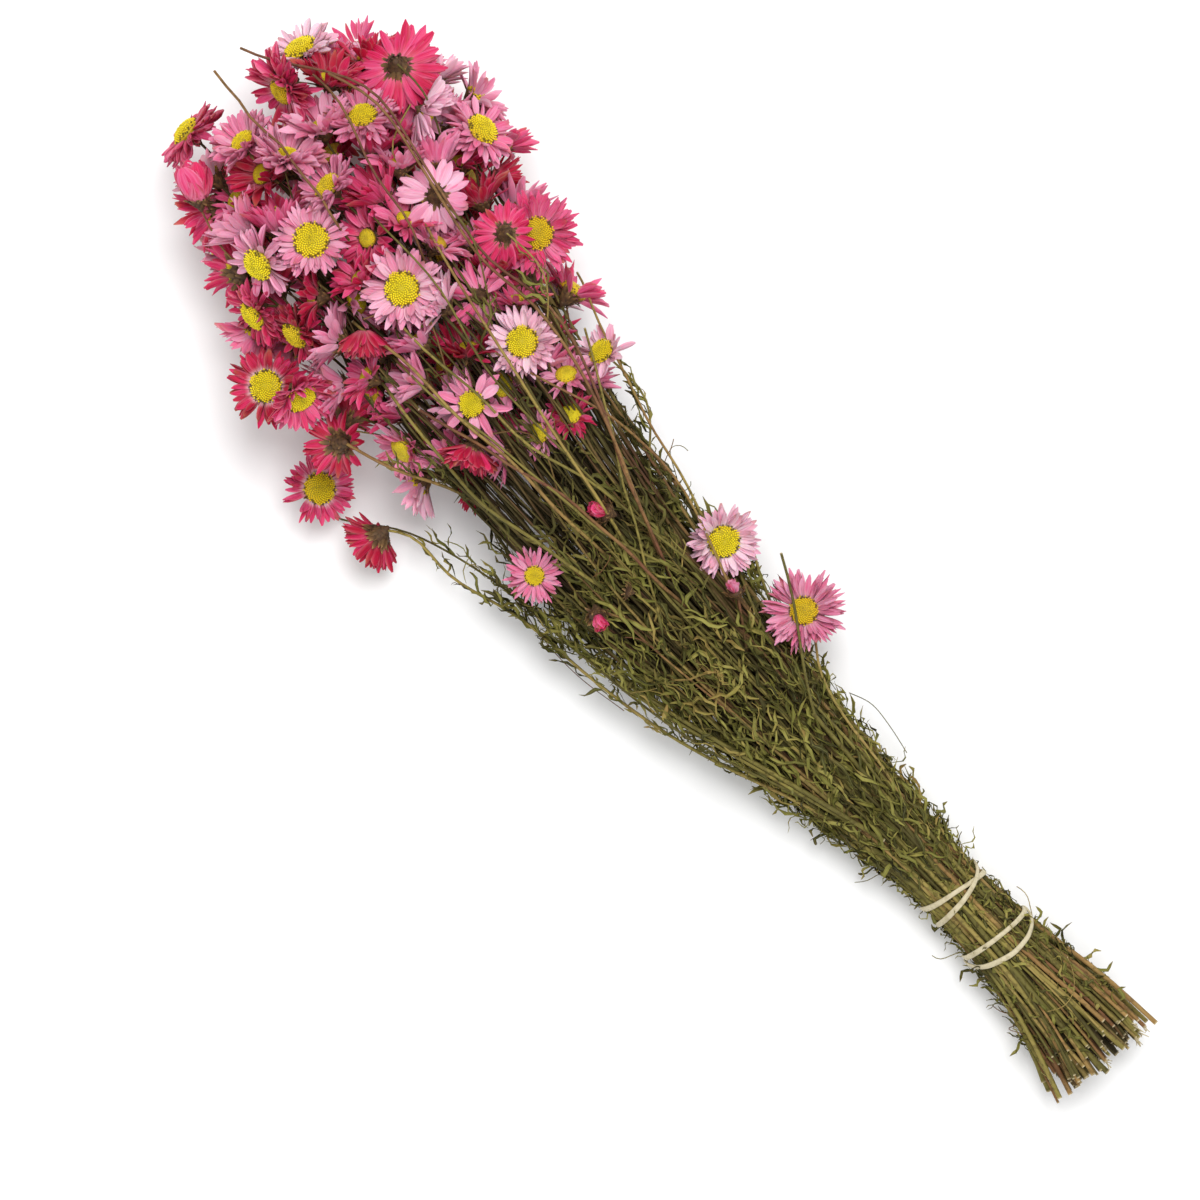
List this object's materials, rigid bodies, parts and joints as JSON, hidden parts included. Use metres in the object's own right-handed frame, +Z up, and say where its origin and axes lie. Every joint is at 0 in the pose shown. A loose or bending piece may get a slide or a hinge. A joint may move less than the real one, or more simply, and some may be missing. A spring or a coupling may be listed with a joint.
{
  "type": "dried everlasting daisy bunch",
  "caption": "Bunch of dried pink everlasting daisies lying on its side: papery flower heads with yellow discs, narrow-leaved stems and doubled rubber bands round the tie.",
  "frame": {"origin": "point on the surface under the tie, at the middle of the bundle's flat spot", "axes": "+X along the bunch from the tie to the flowers, +Y across it, +Z up from the surface it lies on"},
  "size_m": [0.5728, 0.185, 0.1133],
  "materials": {
    "petals": "dry papery petals, from nearly white through pink to crimson, with finer streaks along them",
    "discs": "bright yellow florets packed in a low dome, with darker ones at its rim",
    "stems": "dry ribbed stems and curled narrow leaves, olive to straw and reddish brown",
    "bands": "cream rubber, slightly shiny"
  },
  "bodies": {
    "root": {"leafy_stems": "stems", "lower_band": "bands", "upper_band": "bands", "low_side": "petals", "low_side_disc": "discs", "low_side_pale": "petals", "low_side_pale_disc": "discs", "small_open": "petals", "small_open_disc": "discs", "stray_back": "petals", "stray_face": "petals", "stray_face_disc": "discs", "rose_turned": "petals", "rose_edge": "petals", "lilac_sparse": "petals", "lilac_sparse_disc": "discs", "crimson_dome": "petals", "pale_face": "petals", "pale_face_disc": "discs", "pale_ragged": "petals", "pale_ragged_disc": "discs", "pink_face": "petals", "pink_face_disc": "discs", "rose_back": "petals", "wide_face": "petals", "wide_face_disc": "discs", "round_face": "petals", "round_face_disc": "discs", "reflexed": "petals", "reflexed_disc": "discs", "dark_side": "petals", "dark_face": "petals", "dark_face_disc": "discs", "leaning_in": "petals", "crimson_side": "petals", "facing_tip": "petals", "facing_tip_disc": "discs", "dark_centre": "petals", "closed_cup": "petals", "tip_single": "petals", "tip_pink": "petals", "tip_pink_disc": "discs", "tip_wide": "petals", "tip_wide_disc": "discs", "tip_pale": "petals", "tip_pale_disc": "discs", "big_back": "petals", "messy": "petals", "upper_pink": "petals", "upper_pink_disc": "discs", "upper_back": "petals", "side_face": "petals", "side_face_disc": "discs", "rose_upper": "petals", "small_pink": "petals", "packed_flowers": "petals"}
  },
  "joints": []
}
